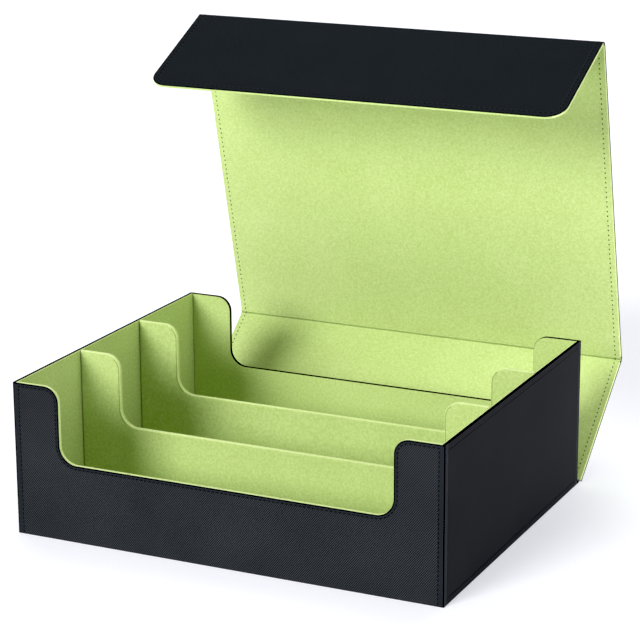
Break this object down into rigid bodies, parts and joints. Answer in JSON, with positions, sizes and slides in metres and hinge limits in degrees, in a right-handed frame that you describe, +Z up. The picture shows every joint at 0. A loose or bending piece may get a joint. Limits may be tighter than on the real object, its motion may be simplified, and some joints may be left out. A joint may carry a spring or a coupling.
{
  "type": "trading card storage box",
  "caption": "Rectangular open tray with parallel card lanes between notched dividers, and a wrap-over cover in three hinged panels that closes with a magnetic front flap.",
  "frame": {"origin": "middle of the tray's underside, on the table", "axes": "+X to the right along the front wall, +Y from the front wall to the hinged back, +Z up"},
  "size_m": [0.324, 0.3463, 0.3232],
  "materials": {
    "black_leather": "satin",
    "green_suede": "matte",
    "grey_board": "matte",
    "magnet_nickel": "satin"
  },
  "bodies": {
    "tray": {"base_skin": "black_leather", "floor_board": "grey_board", "floor_lining": "green_suede", "front_board": "grey_board", "front_skin": "black_leather", "front_lining": "green_suede", "back_board": "grey_board", "back_skin": "black_leather", "back_lining": "green_suede", "left_board": "grey_board", "left_side_skin": "black_leather", "left_top_binding": "black_leather", "left_lining": "green_suede", "right_board": "grey_board", "right_side_skin": "black_leather", "right_top_binding": "black_leather", "right_lining": "green_suede", "front_divider_board": "grey_board", "front_divider_front_lining": "green_suede", "front_divider_rear_lining": "green_suede", "rear_divider_board": "grey_board", "rear_divider_front_lining": "green_suede", "rear_divider_rear_lining": "green_suede", "tray_magnets": "magnet_nickel", "hinge_skin": "black_leather"},
    "cover_back": {"back_panel_skin": "black_leather", "back_panel_board": "grey_board", "back_panel_lining": "green_suede", "top_fold_skin": "black_leather", "top_fold_lining": "green_suede"},
    "cover_top": {"top_panel_skin": "black_leather", "top_panel_board": "grey_board", "top_panel_lining": "green_suede"},
    "flap_fold": {"flap_fold_skin": "black_leather", "flap_fold_lining": "green_suede"},
    "cover_flap": {"flap_skin": "black_leather", "flap_board": "grey_board", "flap_lining": "green_suede", "flap_magnets": "magnet_nickel"}
  },
  "joints": [
    {"name": "cover_hinge", "type": "hinge", "parent": "tray", "child": "cover_back", "pos_m": [0, 0.13075, 0.00025], "axis": [-1, 0, 0], "range_deg": [-51.4, 38.6], "deforming": ["hinge_skin"]},
    {"name": "top_fold", "type": "hinge", "parent": "cover_back", "child": "cover_top", "pos_m": [0, 0.21867, 0.07044], "axis": [1, 0, 0], "range_deg": [-65.2, 24.8], "deforming": ["top_fold_skin", "top_fold_lining"]},
    {"name": "flap_square", "type": "hinge", "parent": "cover_top", "child": "flap_fold", "pos_m": [0, 0.15725, 0.3205], "axis": [1, 0, 0], "range_deg": [-11.7, 8.8]},
    {"name": "flap_swing", "type": "hinge", "parent": "flap_fold", "child": "cover_flap", "pos_m": [0, 0.15629, 0.32439], "axis": [1, 0, 0], "range_deg": [-110.5, 0], "deforming": ["flap_fold_skin", "flap_fold_lining"]}
  ],
  "couplings": [
    {"joint": "flap_square", "follows": "cover_hinge", "ratio": 0.2276}
  ]
}
